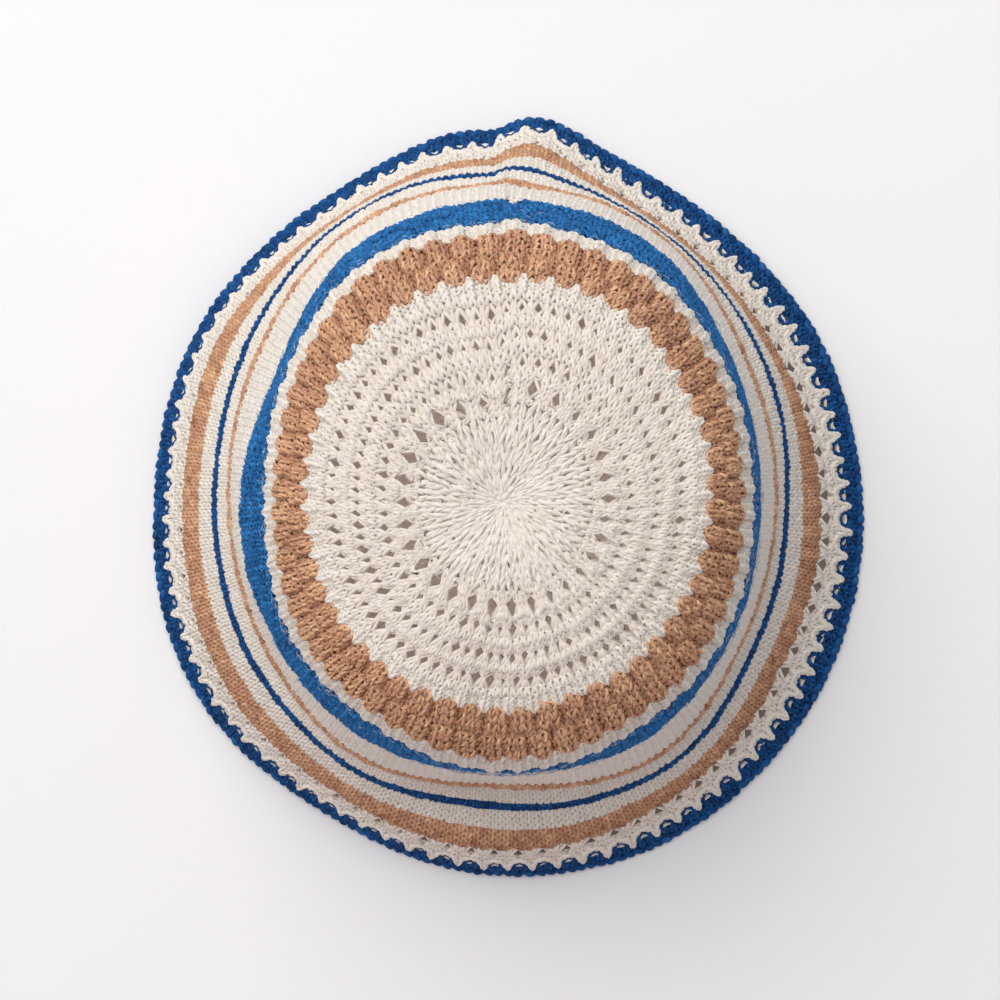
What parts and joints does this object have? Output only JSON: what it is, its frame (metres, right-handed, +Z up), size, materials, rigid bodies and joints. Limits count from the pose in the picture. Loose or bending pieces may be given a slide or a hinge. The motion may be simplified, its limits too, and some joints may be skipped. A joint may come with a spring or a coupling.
{
  "type": "knitted bucket hat",
  "caption": "Knitted striped hat with a lace crown, soft upright sides and a short turned-down brim with eyelets and a coloured edging; worn on the head.",
  "frame": {"origin": "on the table, under the middle of the brim", "axes": "+Z up through the crown, +Y towards the back seam, +X towards the hat's right in the picture"},
  "size_m": [0.256, 0.2738, 0.1222],
  "materials": {
    "cream_yarn": "matte knitted yarn, undyed cream",
    "tan_yarn": "matte knitted yarn, camel tan",
    "blue_yarn": "matte knitted yarn, strong blue"
  },
  "bodies": {
    "root": {"crown_top": "cream_yarn", "crown_tan_band": "tan_yarn", "crown_cream_band": "cream_yarn", "side_blue_band": "blue_yarn", "side_cream_band": "cream_yarn", "brim_tan_line": "tan_yarn", "brim_cream_line": "cream_yarn", "brim_blue_line": "blue_yarn", "brim_cream_band": "cream_yarn", "brim_tan_band": "tan_yarn", "brim_lace_band": "cream_yarn", "brim_blue_edging": "blue_yarn"}
  },
  "joints": []
}
